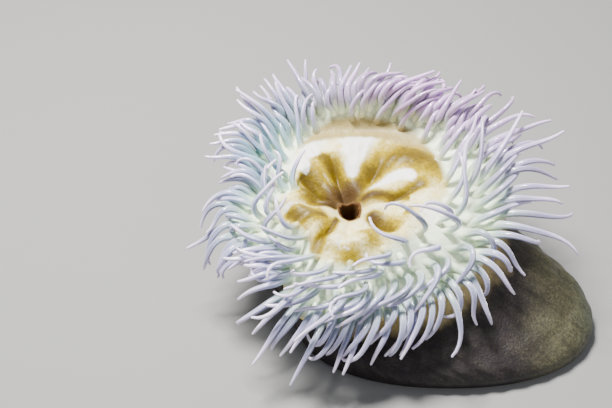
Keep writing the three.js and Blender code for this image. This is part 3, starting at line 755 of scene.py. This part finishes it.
# %% The finished mesh
COLUMN_FROM = 1.3      # the share past which the skin is the column's
TENTACLE, COLUMN = 1, 2      # slots of the skin's materials. The disc has slot 0
numbers = {name: np.concatenate([part[name] for part in parts]) for name in parts[0]}
mesh = bpy.data.meshes.new("anemone_skin")
skin.verts.index_update()
for vert, place in zip(skin.verts, numbers.pop("place").tolist()):
    vert.co = place
for face in skin.faces:
    face.smooth = True
    if face.verts[0].index >= len(parts[0]["share"]):
        face.material_index = TENTACLE
    elif min(numbers["share"][vert.index] for vert in face.verts) >= COLUMN_FROM:
        face.material_index = COLUMN
bmesh.ops.recalc_face_normals(skin, faces=skin.faces)
skin.to_mesh(mesh)
skin.free()
for name, values in numbers.items():
    mesh.attributes.new(name, "FLOAT", "POINT").data.foreach_set("value", values)
anemone = bpy.data.objects.new("anemone_skin", mesh)
bpy.context.scene.collection.objects.link(anemone)
triangles = sum(len(polygon.vertices) - 2 for polygon in mesh.polygons)
print("the skin has", len(mesh.vertices), "vertices and", triangles, "triangles")

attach(anemone, "root")
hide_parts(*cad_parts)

# %% [markdown]
# ## Writing a material as sums
#
# A flesh colour is many layers of masks. In the node editor that is a large web, so a small
# class lets the layers be written as sums: an expression on its values adds the Math nodes.

# %% Sums that add nodes
class Value:
    """A socket of a material that can stand in a sum."""

    def __init__(self, finish, socket):
        self.finish = finish
        self.socket = socket

    def sum(self, operation, first, second):
        return self.finish.node("ShaderNodeMath", {"operation": operation}, {0: first, 1: second})

    def __add__(self, other):
        return self.sum("ADD", self, other)

    def __sub__(self, other):
        return self.sum("SUBTRACT", self, other)

    def __rsub__(self, other):
        return self.sum("SUBTRACT", other, self)

    def __mul__(self, other):
        return self.sum("MULTIPLY", self, other)

    __radd__ = __add__
    __rmul__ = __mul__


class Finish:
    """A material that is built up node by node."""

    def __init__(self, name):
        self.material = bpy.data.materials.new(name)
        self.material.use_nodes = True
        self.tree = self.material.node_tree
        self.tree.nodes.clear()

    def node(self, kind, settings=None, sockets=None, out=0):
        """Adds a node. Its settings are set first, then its sockets' values or links."""
        node = self.tree.nodes.new(kind)
        for name, value in (settings or {}).items():
            setattr(node, name, value)
        for name, value in (sockets or {}).items():
            if isinstance(value, Value):
                self.tree.links.new(value.socket, node.inputs[name])
            else:
                node.inputs[name].default_value = value
        return Value(self, node.outputs[out]) if node.outputs else None

    def number(self, name):
        """A number that the mesh's vertices keep."""
        return self.node("ShaderNodeAttribute", {"attribute_name": name}, out="Fac")

    def places(self):
        return self.node("ShaderNodeTexCoord", out="Object")

    def cloud(self, size, detail=3.0, stretch=(1, 1, 1)):
        """Noise with features of a size in millimetres, about 0.5 on average."""
        where = self.node("ShaderNodeMapping", {"vector_type": "POINT"},
                          {"Vector": self.places(), "Scale": stretch})
        return self.node("ShaderNodeTexNoise", {},
                         {"Vector": where, "Scale": 1 / (size * MM), "Detail": detail})

    def step(self, value, low, high):
        """0 below low and 1 above high, with a soft step between. low may be above high."""
        return self.node("ShaderNodeMapRange", {"interpolation_type": "SMOOTHSTEP"},
                         {"Value": value, "From Min": low, "From Max": high})

    def blend(self, amount, under, over):
        """One colour over another."""
        return self.node("ShaderNodeMix", {"data_type": "RGBA"}, {0: amount, 6: under, 7: over}, out=2)

    def tint(self, colour, factor):
        """A colour made lighter or darker by a factor."""
        return self.node("ShaderNodeVectorMath", {"operation": "SCALE"}, {"Vector": colour, "Scale": factor})


def colour(red, green, blue):
    return (red, green, blue, 1.0)


# %% [markdown]
# ## The crown's flesh
#
# The disc is cream with ochre streaks, chalk white painted highlights and dusky painted shade, and
# turns pale mint among the roots of the tentacles. Its lips and throat are brown, partly their own
# colour and partly painted shade down the funnel. The tentacles are mint at the root, grey in the
# middle, partly their own blue grey and partly painted shade, with pale lengthwise stripes that are
# partly painted highlights, and nearly white at the tip. They are opaque, and light scattered under
# the skin softens them. At the back of the crown they are lilac, and on its left bluish. The stripes
# follow every other vertex round the tentacle.

# %% Colours of the disc
CREAM, PALE_CREAM, SAND = colour(0.82, 0.7, 0.28), colour(0.93, 0.88, 0.58), colour(0.6, 0.46, 0.12)
OCHRE_EDGE, OCHRE_CORE = colour(0.42, 0.3, 0.0), colour(0.115, 0.072, 0.0)
# The chalk white is a painted highlight, and the dusky brown is painted shade.
HIGHLIGHT_WHITE, SHADE_BROWN, MINT = colour(1.0, 1.0, 0.98), colour(0.36, 0.28, 0.1), colour(0.88, 1.0, 0.76)
# The browns of the lips and throat are partly their own colour and partly painted shade down the funnel.
LIP_BROWN_AND_SHADE, THROAT_BROWN_AND_SHADE = colour(0.055, 0.024, 0.0), colour(0.085, 0.034, 0.004)

# Colours of the tentacles. The shaded blue grey is partly their own colour and partly painted shade
# in the middle of each, and the stripe colour is partly a painted highlight.
ROOT_GREEN, SHADED, STRIPE_AND_HIGHLIGHT = colour(0.4, 0.56, 0.48), colour(0.3, 0.31, 0.5), colour(0.83, 0.83, 1.0)
TIP_WHITE, LILAC, TEAL = colour(0.84, 0.75, 1.0), colour(0.58, 0.34, 0.62), colour(0.12, 0.36, 0.44)


# The lips and throat turn brown, darker down into the funnel as painted shade.
def throat_shading(finish, share, ochre, base):
    brown_and_shade = finish.step(share + 0.04 * finish.cloud(3.0), 0.24, 0.1) * (0.05 + 0.95 * ochre)
    lips = finish.blend(brown_and_shade, base, LIP_BROWN_AND_SHADE)
    return finish.blend(finish.step(share, 0.02, -0.1), lips, THROAT_BROWN_AND_SHADE)


def disc_colour(finish):
    share = finish.number("share")
    large, small, grain = finish.cloud(9), finish.cloud(2.2, 4.0), finish.cloud(0.7, 2.0)
    broken = large * 0.5 + small * 0.7 + grain * 0.5 - 0.85
    base = finish.blend(finish.step(large, 0.35, 0.7), CREAM, PALE_CREAM)
    speck = finish.step(grain * 0.6 + small * 0.4, 0.52, 0.64) * finish.step(share, 0.1, 0.25)
    base = finish.blend(speck * 0.6, base, SAND)
    ochre = finish.number("ochre") + broken * 0.8
    base = finish.blend(finish.step(ochre, 0.0, 0.5), base, OCHRE_EDGE)
    base = finish.blend(finish.step(ochre, 0.35, 0.95), base, OCHRE_CORE)
    # Painted highlights in chalk white.
    painted_highlight = finish.step(finish.number("painted_highlight") + broken * 0.9, 0.3, 0.65)
    base = finish.blend(painted_highlight * 0.9, base, HIGHLIGHT_WHITE)
    # Painted shade inside the far rim and in a few valleys.
    painted_shade = finish.step(finish.number("painted_shade") + broken * 0.6, 0.0, 0.9)
    base = finish.blend(painted_shade, base, SHADE_BROWN)
    rooted = finish.step(finish.number("rooted") + broken * 0.5, 0.2, 1.0)
    base = finish.blend(rooted, base, MINT)
    return throat_shading(finish, share, finish.number("ochre"), base)


def tentacle_colour(finish, root):
    along, own = finish.number("along"), finish.number("own")
    small = finish.cloud(1.4, 3.0)
    middle = finish.blend(finish.step(along, 0.0, 0.25), root, ROOT_GREEN)
    # The darker blue grey in the middle is partly painted shade.
    shaded_and_striped = finish.blend(finish.step(along + own * 0.15, 0.15, 0.6), middle, SHADED)
    # Pale lengthwise stripes, partly lines in the skin and partly painted highlights of the bright edges.
    stripe = finish.step(finish.number("stripe"), 0.45, 0.95) * finish.step(along, 0.05, 0.25)
    shaded_and_striped = finish.blend(stripe * 0.6, shaded_and_striped, STRIPE_AND_HIGHLIGHT)
    tip = finish.blend(finish.step(along + own * 0.2, 0.6, 1.05), shaded_and_striped, TIP_WHITE)
    lilac = finish.step(along, 0.0, 0.35) * finish.number("lilac") * 0.75
    tip = finish.blend(lilac, tip, LILAC)
    teal = finish.step(along, 0.0, 0.06) * finish.step(along, 0.8, 0.2) * finish.number("teal") * 0.65
    tip = finish.blend(teal, tip, TEAL)
    return finish.tint(tip, 0.75 + 0.35 * own + 0.15 * small)


# %% The crown's material
def flesh_shader(finish, base, roughness, normal, body):
    """A surface of that colour, roughness and normal. body holds its constant values."""
    shader = finish.node("ShaderNodeBsdfPrincipled", {}, {
        "Base Color": base, "Roughness": roughness, "Normal": normal, **body})
    finish.node("ShaderNodeOutputMaterial", {}, {"Surface": shader})
    return finish.material


def bumped(finish, height, depth):
    """A bump whose height of 1 stands depth millimetres out."""
    return finish.node("ShaderNodeBump", {}, {"Height": height, "Strength": 1.0, "Distance": depth * MM})


def uneven_flesh(finish, depth):
    height = finish.cloud(1.6, 4.0) + finish.cloud(6.0, 2.0) * 1.5
    return bumped(finish, height, depth)


def disc_flesh():
    finish = Finish("disc flesh")
    rough = 0.36 + 0.2 * finish.cloud(3.0) + 0.3 * finish.step(finish.number("share"), 0.25, 0.05)
    return flesh_shader(finish, disc_colour(finish), rough, uneven_flesh(finish, 0.4), {
        "Subsurface Weight": 0.25, "Subsurface Radius": (1.0, 0.8, 0.5), "Subsurface Scale": 2 * MM,
        "Specular IOR Level": 0.35, "Coat Weight": 0.05, "Coat Roughness": 0.3})


def tentacle_flesh():
    finish = Finish("tentacle flesh")
    base = tentacle_colour(finish, disc_colour(finish))
    wet = 0.12 + 0.6 * finish.step(finish.number("along"), 0.0, 0.2)
    return flesh_shader(finish, base, 0.24 + 0.2 * finish.cloud(3.0), uneven_flesh(finish, 0.12), {
        "Subsurface Weight": 0.35, "Subsurface Radius": (0.9, 0.9, 1.0), "Subsurface Scale": 1.5 * MM,
        "Sheen Weight": 1.0, "Sheen Roughness": 0.14, "Sheen Tint": colour(0.97, 0.94, 1.0),
        "Coat Weight": wet, "Coat Roughness": 0.08})


# %% [markdown]
# ## The column's flesh
#
# The column is thick, opaque skin with a fine grain. Low down it is dark plum brown, partly its own
# colour and partly painted shade, darkest near the floor. The lobe that stands out to the right is
# grey olive, made lighter as painted light, with lighter grain and a grey-green painted highlight on
# its far edge. The furrows between the ribs are darkened as painted shade. Above lies beige, where
# the skin is stretched to the rim, and the darker colours below it are painted shade. The beige is
# broadest at the back. The lobe lies at large x, so the places themselves say how far out a point is.

# %% The column's material
# The plum browns are partly the column's own colour and partly painted shade.
PLUM_DARK_SHADE, PLUM_SHADE = colour(0.009, 0.005, 0.007), colour(0.026, 0.017, 0.018)
# The olive is the lobe painted as lit, and the sea grey is a painted highlight on its far edge.
OLIVE_LIT, SEA_GREY_HIGHLIGHT = colour(0.055, 0.052, 0.028), colour(0.07, 0.11, 0.09)
LIGHT_GRAIN, DARK_GRAIN = colour(0.15, 0.135, 0.075), colour(0.012, 0.01, 0.01)
# The furrow colour is painted shade; the darker tan is partly grain and partly painted shade in the furrows.
FURROW_SHADE, TAN, TAN_DARK_AND_SHADE = colour(0.008, 0.006, 0.006), colour(0.7, 0.56, 0.27), colour(0.36, 0.27, 0.12)
RIM_MINT = colour(0.74, 0.84, 0.6)


def column_flesh():
    finish = Finish("column flesh")
    share, height = finish.number("share"), finish.number("height")
    large, middle = finish.cloud(26, 2.0), finish.cloud(8, 3.0, (1, 1, 0.5))
    grain, fine = finish.cloud(1.5, 3.0), finish.cloud(0.7, 2.0)
    x = finish.node("ShaderNodeSeparateXYZ", {}, {"Vector": finish.places()}, out="X")
    # The lobe at large x is painted as lit, in olive and with lighter grain.
    lit_lobe = finish.step(x + large * 0.03, 0.05, 0.085)
    # Dark plum, darkest low down, is partly painted shade.
    front = finish.blend(finish.step(height + large * 20, 20.0, 60.0), PLUM_DARK_SHADE, PLUM_SHADE)
    base = finish.blend(lit_lobe, front, OLIVE_LIT)
    # A grey-green painted highlight on the lobe's far edge.
    base = finish.blend(finish.step(x + middle * 0.02, 0.085, 0.108) * 0.45, base, SEA_GREY_HIGHLIGHT)
    light = finish.step(grain * 0.7 + fine * 0.3 + middle * 0.3, 0.6, 0.82)
    base = finish.blend(light * (0.12 + 0.3 * lit_lobe), base, LIGHT_GRAIN)
    dark = finish.step(grain * 0.7 + fine * 0.3, 0.5, 0.34)
    base = finish.blend(dark * 0.4, base, DARK_GRAIN)
    # Painted shade in the furrows between the ribs.
    furrow_shade_mask = finish.step(finish.number("rib") + middle * 0.4, 0.4, 0.1)
    base = finish.blend(furrow_shade_mask * 0.35, base, FURROW_SHADE)
    # Beige where the skin is stretched to the rim; the darker colours below it are painted shade.
    stretched = finish.step(share + large * 0.1 + middle * 0.06, 1.8, 1.72)
    # Darker tan in the furrows is painted shade; in the dark grain it is the skin's own colour.
    tan = finish.blend(furrow_shade_mask * 0.5 + dark * 0.3, TAN, TAN_DARK_AND_SHADE)
    base = finish.blend(stretched * 0.9, base, tan)
    base = finish.blend(finish.step(share, 1.6, 1.3), base, RIM_MINT)
    bump = grain + fine * 0.6 + middle * 1.2 + large
    return flesh_shader(finish, base, 0.46 + 0.2 * grain, bumped(finish, bump, 0.4), {
        "Subsurface Weight": 0.12, "Subsurface Radius": (1.0, 0.7, 0.5), "Subsurface Scale": 2 * MM,
        "Specular IOR Level": 0.35, "Coat Weight": 0.08, "Coat Roughness": 0.3})


for material in (disc_flesh(), tentacle_flesh(), column_flesh()):
    mesh.materials.append(material)
    print(material.name, "has", len(material.node_tree.nodes), "nodes")

# %% [markdown]
# ## Floor, light and camera
#
# A plain grey floor carries the animal. One soft light from above, a little to the back and
# left, gives the crown its modelling. A weak light from the front right and a weak sky fill
# the shade under the rim.

# %% Floor
FLOOR_SIZE = 6.0
floor_shape = bmesh.new()
bmesh.ops.create_grid(floor_shape, x_segments=1, y_segments=1, size=FLOOR_SIZE / 2)
floor_mesh = bpy.data.meshes.new("floor")
floor_shape.to_mesh(floor_mesh)
floor_shape.free()
floor = bpy.data.objects.new("floor", floor_mesh)
bpy.context.scene.collection.objects.link(floor)
floor_paint = Finish("floor paint")
floor_normal = floor_paint.node("ShaderNodeNewGeometry", out="Normal")
flesh_shader(floor_paint, colour(0.25, 0.25, 0.25), 0.8, floor_normal, {})
floor_mesh.materials.append(floor_paint.material)


# %% Lights
def aim(thing, target):
    way = Vector(target) - thing.location
    thing.rotation_euler = way.to_track_quat("-Z", "Y").to_euler()


def soft_light(name, place, target, size, watts, light_colour):
    lamp = bpy.data.lights.new(name, "AREA")
    lamp.shape = "DISK"
    lamp.size = size
    lamp.energy = watts
    lamp.color = light_colour
    holder = bpy.data.objects.new(name, lamp)
    holder.location = place
    bpy.context.scene.collection.objects.link(holder)
    aim(holder, target)


TARGET = (-0.0868, 0.033, 0.073)
soft_light("key", (-0.3, 0.22, 1.0), (-0.04, 0.03, 0.05), 0.3, 41, (1.0, 0.98, 0.94))
soft_light("fill", (0.7, -0.8, 0.8), (0.0, 0.0, 0.05), 0.8, 3.5, (0.95, 0.96, 1.0))
world = bpy.data.worlds.new("studio")
bpy.context.scene.world = world
world.use_nodes = True
world.node_tree.nodes["Background"].inputs["Color"].default_value = colour(0.9, 0.93, 1.0)
world.node_tree.nodes["Background"].inputs["Strength"].default_value = 0.3

# %% Camera
AZIMUTH, ELEVATION, DISTANCE = 0, 45, 0.674
lens = bpy.data.cameras.new("camera")
lens.lens = 65
lens.sensor_width = 36
camera = bpy.data.objects.new("camera", lens)
flat = DISTANCE * math.cos(math.radians(ELEVATION))
camera.location = (TARGET[0] + flat * math.sin(math.radians(AZIMUTH)),
                   TARGET[1] - flat * math.cos(math.radians(AZIMUTH)),
                   TARGET[2] + DISTANCE * math.sin(math.radians(ELEVATION)))
bpy.context.scene.collection.objects.link(camera)
aim(camera, TARGET)
bpy.context.scene.camera = camera
print("camera is", round(camera.location.z, 2), "m above the floor")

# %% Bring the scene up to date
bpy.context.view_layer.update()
